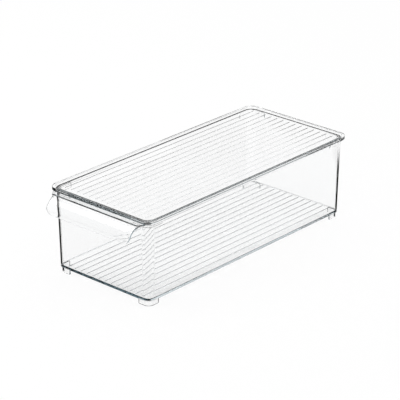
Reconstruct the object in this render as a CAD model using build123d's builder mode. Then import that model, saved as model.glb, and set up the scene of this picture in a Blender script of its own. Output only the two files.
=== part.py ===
from build123d import *
import os
from math import atan, degrees, radians, sin

# Clear drawer for a fridge shelf: an open moulded tub with a pull along its front rim, and a loose lid.
# The origin is the middle of the footprint, on the surface that the drawer stands on.
# X runs across the front, the front faces -Y and Z is up. All sizes are in millimetres.

# Overall sizes
lid_width = 158.0
lid_length = 356.0
overall_height = 108.0
pull_reach = 17.0

# Lid: a flat ribbed panel inside a raised border
lid_corner = 12.0
lid_border = 4.0
border_rise = 2.0
panel = 2.0
lid_edge_round = 0.4

# Tub wall and floor; the wall leans out by the draft that lets it leave its mould
wall = 2.0
floor = 2.4
draft_lean = 2.0
tub_bottom_width = 146.0
tub_bottom_length = 344.0
tub_bottom_corner = 9.0
tub_bottom_round = 0.8
cavity_bottom_round = 1.2

# Rim band round the top of the tub, rounded over outside, on which the lid lies
rim_overhang = 1.2
rim_height = 3.0
rim_round = 0.8

# Ledge in front of the rim, and the curved pull that hangs from its lip
ledge_below_rim = 0.6
ledge_width = 140.0
ledge_corner = 6.0
pull_thickness = 2.0
lip_depth = 2.4
pull_start_slope = 22.0
pull_bend_slope = 45.0
pull_upper_radius = 24.0
pull_lower_radius = 12.5
pull_half_width = 65.5
pull_bottom = 82.5
pull_bottom_corner = 9.0
pull_root_fillet = 4.0
pull_edge_round = 0.8

# Ribs on the lid's panel and on the tub's floor
rib_pitch = 9.75
rib_radius = 0.5
lid_rib_count = 14
lid_rib_length = 331.0
floor_rib_count = 13
floor_rib_length = 334.0

# Corner bands: the feet under the tub and the locating flanges under the lid
foot_height = 6.5
foot_inset = 1.6
foot_thickness = 2.0
foot_leg = 16.0
flange_height = 6.8
flange_clearance = 0.5
flange_thickness = 1.6
flange_leg = 23.0

# Levels and places that follow from these sizes
middle_y = pull_reach / 2
border_top = overall_height
panel_top = border_top - border_rise
rim_top = panel_top - panel
tub_height = rim_top - foot_height
draft_angle = degrees(atan(draft_lean / tub_height))
tub_top_width = tub_bottom_width + 2 * draft_lean
tub_top_length = tub_bottom_length + 2 * draft_lean
tub_top_corner = tub_bottom_corner + draft_lean
cavity_width = tub_top_width - 2 * wall
cavity_length = tub_top_length - 2 * wall
cavity_corner = tub_top_corner - wall
rim_width = tub_top_width + 2 * rim_overhang
rim_length = tub_top_length + 2 * rim_overhang
rim_corner = tub_top_corner + rim_overhang
floor_top = foot_height + floor
ledge_top = rim_top - ledge_below_rim
flare_top = ledge_top - lip_depth
pull_front_y = middle_y - lid_length / 2 - pull_reach
upper_run = pull_upper_radius * (sin(radians(pull_bend_slope)) - sin(radians(pull_start_slope)))
lower_run = pull_lower_radius * (1 - sin(radians(pull_bend_slope)))
ledge_front_y = pull_front_y + upper_run + lower_run
ledge_middle_y = ledge_front_y + rim_length / 2


def rounded_frame(width, length, corner, thickness):
    """Draw a rounded rectangle with its inside taken out, leaving a band of one thickness."""
    RectangleRounded(width, length, corner)
    inner_corner = corner - thickness
    RectangleRounded(width - 2 * thickness, length - 2 * thickness, inner_corner, mode=Mode.SUBTRACT)


def corner_bands(width, length, corner, thickness, leg):
    """Draw the four corners of a rounded frame, each reaching one leg along both of its sides."""
    rounded_frame(width, length, corner, thickness)
    Rectangle(width - 2 * leg, length, mode=Mode.SUBTRACT)
    Rectangle(width, length - 2 * leg, mode=Mode.SUBTRACT)


def ribs(count, length, level):
    """Add parallel round ribs along Y, sunk to their axis in the face at one level."""
    with BuildSketch(Plane.XZ.offset(-middle_y)) as rows:
        with Locations((0, level)):
            with GridLocations(rib_pitch, 1, count, 1):
                Circle(rib_radius)
    extrude(rows.sketch, amount=length / 2, both=True)


# Pull: a sheet that leaves the ledge's lip, sweeps forward and down, and ends hanging upright. Its
# sides are upright, flare at their roots to the ledge's width and round off at the lower corners.
with BuildPart() as pull:
    with BuildSketch(Plane.YZ):
        with BuildLine():
            root = Vector(ledge_front_y + pull_thickness / 2, ledge_top - pull_thickness / 2)
            lip = Line(root, root - Vector(0, lip_depth))
            upper = JernArc(
                start=lip @ 1,
                tangent=Vector(-1, 0).rotate(Axis.Z, pull_start_slope),
                radius=pull_upper_radius,
                arc_size=pull_bend_slope - pull_start_slope,
            )
            lower = JernArc(
                start=upper @ 1,
                tangent=upper % 1,
                radius=pull_lower_radius,
                arc_size=90 - pull_bend_slope,
            )
            Line(lower @ 1, ((lower @ 1).X, pull_bottom))
        trace(line_width=pull_thickness)
    extrude(amount=ledge_width / 2, both=True)
    with BuildSketch(Plane.XZ.offset(-pull_front_y)):
        with BuildLine():
            FilletPolyline(
                (0, pull_bottom),
                (pull_half_width, pull_bottom),
                (pull_half_width, flare_top),
                (ledge_width / 2, flare_top),
                radius=[pull_bottom_corner, pull_root_fillet],
            )
            Polyline((ledge_width / 2, flare_top), (ledge_width / 2, ledge_top), (0, ledge_top))
            mirror(about=Plane.YZ)
        make_face()
    extrude(amount=-2 * pull_reach, mode=Mode.INTERSECT)
    with BuildSketch(Plane.XY.offset(pull_bottom)):
        with Locations((0, pull_front_y)):
            Rectangle(ledge_width, 2 * (ledge_front_y - pull_front_y))
        with Locations((0, ledge_middle_y)):
            RectangleRounded(ledge_width, rim_length, ledge_corner)
    extrude(amount=overall_height, mode=Mode.INTERSECT)
    # The two lower edges run on without a corner up the sides, so the round follows them to the root.
    fillet(pull.edges().filter_by(Axis.X).group_by(Axis.Z)[0], pull_edge_round)

# Cavity: the room inside the tub, narrower towards the floor, with a rounded lower edge
with BuildPart() as cavity:
    with BuildSketch(Plane.XY.offset(rim_top)):
        with Locations((0, middle_y)):
            RectangleRounded(cavity_width, cavity_length, cavity_corner)
    extrude(amount=-(rim_top - floor_top), taper=draft_angle)
    fillet(cavity.faces().sort_by(Axis.Z)[0].edges(), cavity_bottom_round)

# Tub: wall, floor, rim, ledge, pull and feet, moulded in one
with BuildPart() as tub:
    with BuildSketch(Plane.XY.offset(foot_height)):
        with Locations((0, middle_y)):
            RectangleRounded(tub_bottom_width, tub_bottom_length, tub_bottom_corner)
    extrude(amount=tub_height, taper=-draft_angle)
    fillet(tub.faces().sort_by(Axis.Z)[0].edges(), tub_bottom_round)
    with BuildSketch(Plane.XY.offset(rim_top - rim_height)):
        with Locations((0, middle_y)):
            RectangleRounded(rim_width, rim_length, rim_corner)
    extrude(amount=rim_height)
    fillet(tub.faces().sort_by(Axis.Z)[-1].edges(), rim_round)

    # The ledge and its lip run on behind the front wall, where the cavity takes them away.
    with BuildSketch(Plane.XY.offset(ledge_top)):
        with Locations((0, ledge_middle_y)):
            RectangleRounded(ledge_width, rim_length, ledge_corner)
    extrude(amount=-pull_thickness)
    with BuildSketch(Plane.XY.offset(ledge_top)):
        with Locations((0, ledge_middle_y)):
            rounded_frame(ledge_width, rim_length, ledge_corner, pull_thickness)
    extrude(amount=-lip_depth)
    add(pull.part)

    with BuildSketch(Plane.XY):
        with Locations((0, middle_y)):
            foot_width = tub_bottom_width - 2 * foot_inset
            foot_length = tub_bottom_length - 2 * foot_inset
            corner_bands(foot_width, foot_length, tub_bottom_corner - foot_inset, foot_thickness, foot_leg)
    extrude(amount=foot_height + floor / 2)

    add(cavity.part, mode=Mode.SUBTRACT)
    ribs(floor_rib_count, floor_rib_length, floor_top)
tub.part.label = "tub"

# Lid: the ribbed panel, its raised border, and four flanges that locate it in the tub
with BuildPart() as lid:
    with BuildSketch(Plane.XY.offset(rim_top)):
        with Locations((0, middle_y)):
            RectangleRounded(lid_width, lid_length, lid_corner)
    extrude(amount=panel)
    with BuildSketch(Plane.XY.offset(panel_top)):
        with Locations((0, middle_y)):
            rounded_frame(lid_width, lid_length, lid_corner, lid_border)
    extrude(amount=border_rise)
    fillet(lid.faces().sort_by(Axis.Z)[-1].edges(), lid_edge_round)
    with BuildSketch(Plane.XY.offset(rim_top)):
        with Locations((0, middle_y)):
            flange_width = cavity_width - 2 * flange_clearance
            flange_length = cavity_length - 2 * flange_clearance
            flange_corner = cavity_corner - flange_clearance
            corner_bands(flange_width, flange_length, flange_corner, flange_thickness, flange_leg)
    extrude(amount=-flange_height)
    ribs(lid_rib_count, lid_rib_length, panel_top)
lid.part.label = "lid"

os.makedirs("parts", exist_ok=True)
export_step(tub.part, "parts/tub.step")
export_step(lid.part, "parts/lid.step")
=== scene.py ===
"""Clear fridge drawer: the plastic of its tub and lid, with a stage, a lamp and a camera around them."""

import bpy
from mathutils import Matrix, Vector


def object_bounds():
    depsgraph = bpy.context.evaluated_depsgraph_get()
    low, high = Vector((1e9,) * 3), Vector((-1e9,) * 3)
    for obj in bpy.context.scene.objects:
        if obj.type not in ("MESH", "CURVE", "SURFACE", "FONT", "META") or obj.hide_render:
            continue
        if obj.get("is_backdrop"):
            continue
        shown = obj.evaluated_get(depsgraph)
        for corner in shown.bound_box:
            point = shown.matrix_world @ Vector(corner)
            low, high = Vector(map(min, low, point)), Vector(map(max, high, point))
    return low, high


bl_info = {
    "name": "Clear Fridge Drawer",
    "version": (1, 0, 0),
    "blender": (4, 5, 0),
    "location": "3D Viewport > Sidebar > Drawer",
    "description": "Finishes a clear moulded drawer and its ribbed lid, and sets them on a pale stage",
    "category": "Object",
}

from math import tan

import bmesh
import bpy
from bpy.props import FloatProperty, FloatVectorProperty, IntProperty, PointerProperty
from bpy.types import Operator, Panel, PropertyGroup
from mathutils import Euler, Vector

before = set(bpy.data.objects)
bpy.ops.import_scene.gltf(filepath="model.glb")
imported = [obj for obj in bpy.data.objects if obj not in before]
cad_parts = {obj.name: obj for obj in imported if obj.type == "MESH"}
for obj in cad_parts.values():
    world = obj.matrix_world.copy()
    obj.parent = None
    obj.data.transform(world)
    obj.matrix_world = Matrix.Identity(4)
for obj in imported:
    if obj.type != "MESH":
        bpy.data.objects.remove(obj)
cad_low, cad_high = (Vector(corner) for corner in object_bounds())

# Plain levels: white is the plastic's base colour, the white room and the painted pale reflection of the
# covers; the dark level is the painted dark reflection of the card and the screen.
WHITE = 1.0
PAINTED_DARK = 0.0

# The faces go from polished to hazy where the noise of the haze lies between these two values.
HAZE_FROM, HAZE_TO = 0.4, 0.7

# Steps of finer noise in the patches of haze, and in the broad ripples of flow
HAZE_DETAIL = 4.0
FLOW_DETAIL = 1.0

FLOOR_SIDES = 96


class PlasticSettings(PropertyGroup):
    """The clear plastic that both pieces are moulded in"""

    ior: FloatProperty(
        name="IOR",
        description="How strongly the plastic bends light",
        default=1.57,
        min=1.0,
        max=2.0,
    )
    polish: FloatProperty(
        name="Roughness",
        description="Roughness of the most polished patches of the mould",
        default=0.01,
        min=0.0,
        max=1.0,
        subtype="FACTOR",
    )
    haze: FloatProperty(
        name="Haze",
        description="Roughness that handling adds on the dullest patches",
        default=0.03,
        min=0.0,
        max=1.0,
        subtype="FACTOR",
    )
    haze_scale: FloatProperty(
        name="Haze scale",
        description="Patches of haze per metre",
        default=60.0,
        min=0.0,
    )
    flow_scale: FloatProperty(
        name="Flow scale",
        description="Ripples per metre that the flowing plastic left in the faces",
        default=28.0,
        min=0.0,
    )
    flow_depth: FloatProperty(
        name="Flow depth",
        description="Depth of those ripples",
        default=0.00002,
        min=0.0,
        subtype="DISTANCE",
        unit="LENGTH",
    )
    mirror: FloatProperty(
        name="Face reflection",
        description="Share of its mirror reflection that a face keeps where light meets it squarely",
        default=0.1,
        min=0.0,
        max=1.0,
        subtype="FACTOR",
    )
    tint: FloatVectorProperty(
        name="Tint",
        description="Colour that light takes on along a long way through the plastic",
        default=(0.62, 0.72, 0.76),
        subtype="COLOR",
        min=0.0,
        max=1.0,
    )
    tub_density: FloatProperty(
        name="Tub density",
        description="How quickly the tint builds up in the tub, per metre",
        default=10.0,
        min=0.0,
    )
    lid_density: FloatProperty(
        name="Lid density",
        description="How quickly the tint builds up in the lid, per metre",
        default=3.0,
        min=0.0,
    )
    shadow: FloatProperty(
        name="Shadow clearness",
        description="Share of the light that one wall lets through to the shadow",
        default=0.9,
        min=0.0,
        max=1.0,
        subtype="FACTOR",
    )


class StageSettings(PropertyGroup):
    """The floor, the dark card and screen and the pale covers, which paint dark and pale reflections into the
    plastic, the light and the viewpoint
    """

    floor_radius: FloatProperty(
        name="Floor radius",
        description="Radius of the round floor",
        default=6.0,
        min=0.1,
        subtype="DISTANCE",
        unit="LENGTH",
    )
    floor_drop: FloatProperty(
        name="Floor drop",
        description="How far the floor lies below the feet",
        default=0.0005,
        min=0.0,
        subtype="DISTANCE",
        unit="LENGTH",
    )
    floor_colour: FloatVectorProperty(
        name="Floor colour",
        description="Colour of the floor where light falls on it",
        default=(0.8, 0.8, 0.8),
        subtype="COLOR",
        min=0.0,
        max=1.0,
    )
    floor_white: FloatProperty(
        name="Floor whiteness",
        description="Share of plain white in the floor as it is seen, beside its lit and shadowed colour",
        default=0.9,
        min=0.0,
        max=1.0,
        subtype="FACTOR",
    )
    # The card, the screen and the pale covers set here are painted reflections: only light turned back inside
    # the plastic meets them, dark or pale.
    card_reach: FloatProperty(
        name="Card reach",
        description="How far the dark card on the floor reaches past the drawer in front and at its sides",
        default=0.5,
        min=0.0,
        subtype="DISTANCE",
        unit="LENGTH",
    )
    card_reach_behind: FloatProperty(
        name="Card reach behind",
        description="How far the dark card on the floor reaches past the drawer at its back",
        default=0.202,
        min=0.0,
        subtype="DISTANCE",
        unit="LENGTH",
    )
    notch_reach: FloatProperty(
        name="Notch reach",
        description="Gap between the drawer's left side and the notch in the card's back left corner",
        default=0.16,
        min=0.0,
        subtype="DISTANCE",
        unit="LENGTH",
    )
    notch_start: FloatProperty(
        name="Notch start",
        description="Place along the drawer where the notch in the card begins",
        default=0.09,
        subtype="DISTANCE",
        unit="LENGTH",
    )
    soft_edge: FloatProperty(
        name="Soft edge",
        description="Width over which the card and the screen fade out at their edges",
        default=0.06,
        min=0.001,
        subtype="DISTANCE",
        unit="LENGTH",
    )
    cover_gap: FloatProperty(
        name="Cover gap",
        description="Gap between the lid's outline and the pale covers that lie on the card",
        default=0.013,
        min=0.0,
        subtype="DISTANCE",
        unit="LENGTH",
    )
    right_cover_reach: FloatProperty(
        name="Right cover reach",
        description="How far the right pale cover reaches past the lid",
        default=0.2,
        min=0.0,
        subtype="DISTANCE",
        unit="LENGTH",
    )
    front_cover_reach: FloatProperty(
        name="Front cover reach",
        description="How far the front pale cover reaches past the lid",
        default=0.168,
        min=0.0,
        subtype="DISTANCE",
        unit="LENGTH",
    )
    cover_spare: FloatProperty(
        name="Cover spare",
        description="How far the pale covers run on past what the walls mirror to the view",
        default=0.012,
        min=0.0,
        subtype="DISTANCE",
        unit="LENGTH",
    )
    cover_edge: FloatProperty(
        name="Cover edge",
        description="Width over which the pale covers fade out at their edges",
        default=0.004,
        min=0.001,
        subtype="DISTANCE",
        unit="LENGTH",
    )
    pull_reach: FloatProperty(
        name="Pull reach",
        description="How far the pull stands out in front of the lid",
        default=0.017,
        min=0.0,
        subtype="DISTANCE",
        unit="LENGTH",
    )
    screen_distance: FloatProperty(
        name="Screen distance",
        description="From the drawer to the upright dark screen behind it, square to the view",
        default=0.8,
        min=0.2,
        subtype="DISTANCE",
        unit="LENGTH",
    )
    screen_width: FloatProperty(
        name="Screen width",
        description="Width of the upright dark screen",
        default=1.6,
        min=0.0,
        subtype="DISTANCE",
        unit="LENGTH",
    )
    screen_bottom: FloatProperty(
        name="Screen bottom",
        description="Height of the screen's lower edge above the floor",
        default=0.42,
        min=0.0,
        subtype="DISTANCE",
        unit="LENGTH",
    )
    screen_top: FloatProperty(
        name="Screen top",
        description="Height of the screen's upper edge above the floor",
        default=0.9,
        min=0.0,
        subtype="DISTANCE",
        unit="LENGTH",
    )
    screen_faces: IntProperty(
        name="Screen faces",
        description="Faces of plastic that light must pass before the screen is dark to it",
        default=3,
        min=1,
    )
    key_power: FloatProperty(
        name="Key power",
        description="Power of the soft lamp",
        default=12.0,
        min=0.0,
        subtype="POWER",
        unit="POWER",
    )
    key_size: FloatProperty(
        name="Key size",
        description="Diameter of the soft lamp",
        default=1.2,
        min=0.01,
        subtype="DISTANCE",
        unit="LENGTH",
    )
    key_place: FloatVectorProperty(
        name="Key place",
        description="Where the soft lamp hangs; it faces the drawer's foot",
        default=(-0.8, -0.6, 1.6),
        subtype="TRANSLATION",
        unit="LENGTH",
    )
    surround: FloatProperty(
        name="Surround",
        description="Strength of the white room around the stage",
        default=1.0,
        min=0.0,
    )
    bounces: IntProperty(
        name="Bounces",
        description="Bounces that light may take inside the plastic from one edge to the other",
        default=96,
        min=4,
    )
    lens: FloatProperty(
        name="Lens",
        description="Focal length",
        default=173.77,
        min=1.0,
        subtype="DISTANCE_CAMERA",
        unit="CAMERA",
    )
    view_angles: FloatVectorProperty(
        name="View angles",
        description="Turn of the camera from straight down, about X and about Z",
        default=(1.16221, 0.0, 0.73234),
        subtype="EULER",
        unit="ROTATION",
    )
    view_aim: FloatVectorProperty(
        name="View aim",
        description="The point in the middle of the picture",
        default=(-0.0164, 0.0212, 0.0468),
        subtype="TRANSLATION",
        unit="LENGTH",
    )
    view_distance: FloatProperty(
        name="View distance",
        description="From the camera to the point that it aims at",
        default=2.3228,
        min=0.1,
        subtype="DISTANCE",
        unit="LENGTH",
    )


def new_material(name):
    """Return an empty node material with its tree and its output node."""
    material = bpy.data.materials.new(name)
    material.use_nodes = True
    tree = material.node_tree
    tree.nodes.clear()
    output = tree.nodes.new("ShaderNodeOutputMaterial")
    return material, tree, output


def grey(level):
    """Return an opaque colour that is the same in all channels."""
    return (level, level, level, 1.0)


def mixed(tree, factor, first, second):
    """Return the shader that goes from first to second as the factor, a socket or a number, goes to 1."""
    mix = tree.nodes.new("ShaderNodeMixShader")
    if isinstance(factor, float):
        mix.inputs["Fac"].default_value = factor
    else:
        tree.links.new(factor, mix.inputs["Fac"])
    tree.links.new(first, mix.inputs[1])
    tree.links.new(second, mix.inputs[2])
    return mix.outputs["Shader"]


def worked_out(tree, operation, first, second):
    """Return a Math node's result for the first socket and the second value, a socket or a number."""
    node = tree.nodes.new("ShaderNodeMath")
    node.operation = operation
    tree.links.new(first, node.inputs[0])
    if isinstance(second, float):
        node.inputs[1].default_value = second
    else:
        tree.links.new(second, node.inputs[1])
    return node.outputs["Value"]


def patches(tree, scale, detail):
    """Return soft patches from 0 to 1, scale of them to a metre, fixed to the moulded piece."""
    nodes, links = tree.nodes, tree.links
    place = nodes.new("ShaderNodeTexCoord")
    noise = nodes.new("ShaderNodeTexNoise")
    noise.inputs["Scale"].default_value = scale
    noise.inputs["Detail"].default_value = detail
    links.new(place.outputs["Object"], noise.inputs["Vector"])
    return noise.outputs["Fac"]


def clear_plastic(name, settings, density):
    """Return clear moulded plastic: flow ripples, patches of haze, and a tint that grows with depth."""
    material, tree, output = new_material(name)
    nodes, links = tree.nodes, tree.links

    shader = nodes.new("ShaderNodeBsdfPrincipled")
    shader.inputs["Base Color"].default_value = grey(WHITE)
    shader.inputs["IOR"].default_value = settings.ior
    shader.inputs["Transmission Weight"].default_value = 1.0
    shader.inputs["Specular Tint"].default_value = grey(settings.mirror)

    haze = nodes.new("ShaderNodeMapRange")
    haze.inputs["From Min"].default_value = HAZE_FROM
    haze.inputs["From Max"].default_value = HAZE_TO
    haze.inputs["To Min"].default_value = settings.polish
    haze.inputs["To Max"].default_value = settings.polish + settings.haze
    links.new(patches(tree, settings.haze_scale, HAZE_DETAIL), haze.inputs["Value"])
    links.new(haze.outputs["Result"], shader.inputs["Roughness"])

    flow = nodes.new("ShaderNodeBump")
    flow.inputs["Distance"].default_value = settings.flow_depth
    links.new(patches(tree, settings.flow_scale, FLOW_DETAIL), flow.inputs["Height"])
    links.new(flow.outputs["Normal"], shader.inputs["Normal"])

    # To the lamps the plastic is thin tinted glass, so that its shadow stays light.
    through = nodes.new("ShaderNodeBsdfTransparent")
    through.inputs["Color"].default_value = grey(settings.shadow)
    path = nodes.new("ShaderNodeLightPath")
    surface = mixed(tree, path.outputs["Is Shadow Ray"], shader.outputs["BSDF"], through.outputs["BSDF"])
    links.new(surface, output.inputs["Surface"])

    absorb = nodes.new("ShaderNodeVolumeAbsorption")
    absorb.inputs["Color"].default_value = (*settings.tint, 1.0)
    absorb.inputs["Density"].default_value = density
    links.new(absorb.outputs["Volume"], output.inputs["Volume"])
    return material


def floor_material(settings):
    """Return a floor that is seen nearly white with its shadow, and that lights the drawer as plain paint."""
    material, tree, output = new_material("floor")
    nodes = tree.nodes
    paint = nodes.new("ShaderNodeBsdfDiffuse")
    paint.inputs["Color"].default_value = (*settings.floor_colour, 1.0)
    white = nodes.new("ShaderNodeEmission")
    path = nodes.new("ShaderNodeLightPath")
    seen = mixed(tree, settings.floor_white, paint.outputs["BSDF"], white.outputs["Emission"])
    surface = mixed(tree, path.outputs["Is Diffuse Ray"], seen, paint.outputs["BSDF"])
    tree.links.new(surface, output.inputs["Surface"])
    return material


def painted_reflection_material(name, strength, faces=0):
    """Return a painted reflection: a plain dark or pale shade, met only by light that the drawer turned back
    and that passed so many faces.
    """
    material, tree, output = new_material(name)
    clear = tree.nodes.new("ShaderNodeBsdfTransparent")
    shade = tree.nodes.new("ShaderNodeEmission")
    shade.inputs["Strength"].default_value = strength
    path = tree.nodes.new("ShaderNodeLightPath")
    cover = tree.nodes.new("ShaderNodeAttribute")
    cover.attribute_name = "cover"
    # Half a face less, because the test is whether the count is greater.
    passed = worked_out(tree, "GREATER_THAN", path.outputs["Transmission Depth"], faces - 0.5)
    met = worked_out(tree, "MINIMUM", path.outputs["Glossy Depth"], passed)
    shown = worked_out(tree, "MULTIPLY", met, cover.outputs["Fac"])
    surface = mixed(tree, shown, clear.outputs["BSDF"], shade.outputs["Emission"])
    tree.links.new(surface, output.inputs["Surface"])
    return material


def give_material(node, material):
    """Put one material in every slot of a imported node."""
    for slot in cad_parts[node].material_slots:
        slot.material = material


def add_stage_piece(name, form, material, height):
    """Turn a flat form into a stage piece at one height."""
    mesh = bpy.data.meshes.new(name)
    form.to_mesh(mesh)
    form.free()
    mesh.materials.append(material)
    piece = bpy.data.objects.new(name, mesh)
    piece.location.z = height
    bpy.context.scene.collection.objects.link(piece)
    piece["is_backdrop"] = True
    return piece


def soft_edged_form(corners, width):
    """Return a flat form through the corners that fades from full cover to none over its edge's width."""
    form = bmesh.new()
    face = form.faces.new([form.verts.new(corner) for corner in corners])
    face.normal_update()
    bmesh.ops.inset_region(form, faces=[face], thickness=width, use_boundary=True, use_even_offset=True)
    cover = form.verts.layers.float.new("cover")
    for vert in form.verts:
        vert[cover] = 0.0 if vert.is_boundary else 1.0
    return form


class DRAWER_OT_tub(Operator):
    """Finish the tub in clear plastic"""

    bl_idname = "drawer.tub"
    bl_label = "Finish Tub"

    def execute(self, context):
        plastic = context.scene.drawer_plastic
        give_material("tub", clear_plastic("clear_tub", plastic, plastic.tub_density))
        return {"FINISHED"}


class DRAWER_OT_lid(Operator):
    """Finish the lid in clear plastic"""

    bl_idname = "drawer.lid"
    bl_label = "Finish Lid"

    def execute(self, context):
        plastic = context.scene.drawer_plastic
        give_material("lid", clear_plastic("clear_lid", plastic, plastic.lid_density))
        return {"FINISHED"}


class DRAWER_OT_stage(Operator):
    """Build the floor, the dark card and screen and the pale covers that paint reflections into the plastic,
    the lamp, the room and the camera
    """

    bl_idname = "drawer.stage"
    bl_label = "Build Stage"

    def execute(self, context):
        settings = context.scene.drawer_stage
        self.build_floor(settings)
        self.build_painted_dark_card(settings)
        self.build_painted_pale_covers(settings)
        self.build_painted_dark_screen(settings)
        self.build_lamp(context.scene, settings)
        self.build_room(context.scene, settings)
        self.build_camera(context.scene, settings)
        context.scene.view_settings.view_transform = "Standard"
        return {"FINISHED"}

    def build_floor(self, settings):
        """Lay a round floor just below the feet."""
        form = bmesh.new()
        bmesh.ops.create_circle(form, cap_ends=True, segments=FLOOR_SIDES, radius=settings.floor_radius)
        add_stage_piece("floor", form, floor_material(settings), -settings.floor_drop)

    def build_painted_dark_card(self, settings):
        """Lay the dark card, a painted dark reflection that only light turned back inside the plastic meets,
        with its back left corner cut out, halfway up the gap under the feet.
        """
        left, right = cad_low.x - settings.card_reach, cad_high.x + settings.card_reach
        front, back = cad_low.y - settings.card_reach, cad_high.y + settings.card_reach_behind
        notch_x, notch_y = cad_low.x - settings.notch_reach, settings.notch_start
        outline = (
            (left, front),
            (right, front),
            (right, back),
            (notch_x, back),
            (notch_x, notch_y),
            (left, notch_y),
        )
        form = soft_edged_form([(x, y, 0.0) for x, y in outline], settings.soft_edge)
        add_stage_piece("card", form, painted_reflection_material("card", PAINTED_DARK), -settings.floor_drop / 2)

    def build_painted_pale_covers(self, settings):
        """Lay pale covers, painted pale reflections, on the card where the faces of the right and front walls
        mirror it to the view.
        """
        near, spare = settings.cover_gap, settings.cover_spare
        material = painted_reflection_material("cover", WHITE)
        # How far the view runs across for each metre of its depth. A wall turns it round and keeps its slope,
        # and the slanted ends of the covers follow it.
        slope = tan(settings.view_angles[2])
        right, back, far = cad_high.x, cad_high.y + spare, settings.right_cover_reach
        beside = (
            (right + near, cad_low.y),
            (right + far, cad_low.y),
            (right + far, back + far / slope),
            (right + near, back + near / slope),
        )
        left, front, far = cad_low.x - spare, cad_low.y + settings.pull_reach, settings.front_cover_reach
        before = (
            (right, front - near),
            (left - near * slope, front - near),
            (left - far * slope, front - far),
            (right, front - far),
        )
        for name, outline in (("right_painted_reflection", beside), ("front_painted_reflection", before)):
            form = soft_edged_form([(x, y, 0.0) for x, y in outline], settings.cover_edge)
            add_stage_piece(name, form, material, -settings.floor_drop / 4)

    def build_painted_dark_screen(self, settings):
        """Stand the dark screen, a painted dark reflection that only light turned back inside the plastic
        meets, behind the drawer, square to the view.
        """
        side, away = settings.screen_width / 2, settings.screen_distance
        low, top = settings.screen_bottom, settings.screen_top
        corners = ((-side, away, low), (side, away, low), (side, away, top), (-side, away, top))
        form = soft_edged_form(corners, settings.soft_edge)
        material = painted_reflection_material("screen", PAINTED_DARK, settings.screen_faces)
        screen = add_stage_piece("screen", form, material, 0.0)
        screen.rotation_euler.z = settings.view_angles[2]

    def build_lamp(self, scene, settings):
        """Hang the soft lamp, turned to the drawer's foot."""
        lamp = bpy.data.lights.new("key", "AREA")
        lamp.shape = "DISK"
        lamp.size = settings.key_size
        lamp.energy = settings.key_power
        key = bpy.data.objects.new("key", lamp)
        key.location = settings.key_place
        key.rotation_euler = (-key.location).to_track_quat("-Z", "Y").to_euler()
        scene.collection.objects.link(key)

    def build_room(self, scene, settings):
        """Put a plain white room around the stage, and let light bounce right through the plastic."""
        world = bpy.data.worlds.new("room")
        world.use_nodes = True
        tree = world.node_tree
        tree.nodes.clear()
        white = tree.nodes.new("ShaderNodeBackground")
        white.inputs["Color"].default_value = grey(WHITE)
        white.inputs["Strength"].default_value = settings.surround
        output = tree.nodes.new("ShaderNodeOutputWorld")
        tree.links.new(white.outputs["Background"], output.inputs["Surface"])
        scene.world = world
        scene.cycles.max_bounces = settings.bounces
        scene.cycles.glossy_bounces = settings.bounces
        scene.cycles.transmission_bounces = settings.bounces

    def build_camera(self, scene, settings):
        """Set the camera back from the point that it aims at, along its own view."""
        data = bpy.data.cameras.new("camera")
        data.lens = settings.lens
        camera = bpy.data.objects.new("camera", data)
        turn = Euler(settings.view_angles)
        back = turn.to_matrix() @ Vector((0.0, 0.0, settings.view_distance))
        camera.rotation_euler = turn
        camera.location = Vector(settings.view_aim) + back
        scene.collection.objects.link(camera)
        scene.camera = camera


class DRAWER_PT_sidebar(Panel):
    """Lists the drawer's operators, with the settings that they read"""

    bl_label = "Clear Drawer"
    bl_space_type = "VIEW_3D"
    bl_region_type = "UI"
    bl_category = "Drawer"

    def draw(self, context):
        for operator in OPERATORS:
            self.layout.operator(operator.bl_idname)
        for settings in (context.scene.drawer_plastic, context.scene.drawer_stage):
            column = self.layout.column()
            for name in settings.__annotations__:
                column.prop(settings, name)


OPERATORS = (DRAWER_OT_tub, DRAWER_OT_lid, DRAWER_OT_stage)
CLASSES = (PlasticSettings, StageSettings, *OPERATORS, DRAWER_PT_sidebar)


def register():
    for cls in CLASSES:
        bpy.utils.register_class(cls)
    bpy.types.Scene.drawer_plastic = PointerProperty(type=PlasticSettings)
    bpy.types.Scene.drawer_stage = PointerProperty(type=StageSettings)


def unregister():
    del bpy.types.Scene.drawer_stage
    del bpy.types.Scene.drawer_plastic
    for cls in reversed(CLASSES):
        bpy.utils.unregister_class(cls)


def main():
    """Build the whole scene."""
    register()
    bpy.ops.drawer.tub()
    bpy.ops.drawer.lid()
    bpy.ops.drawer.stage()


if __name__ == "__main__":
    main()
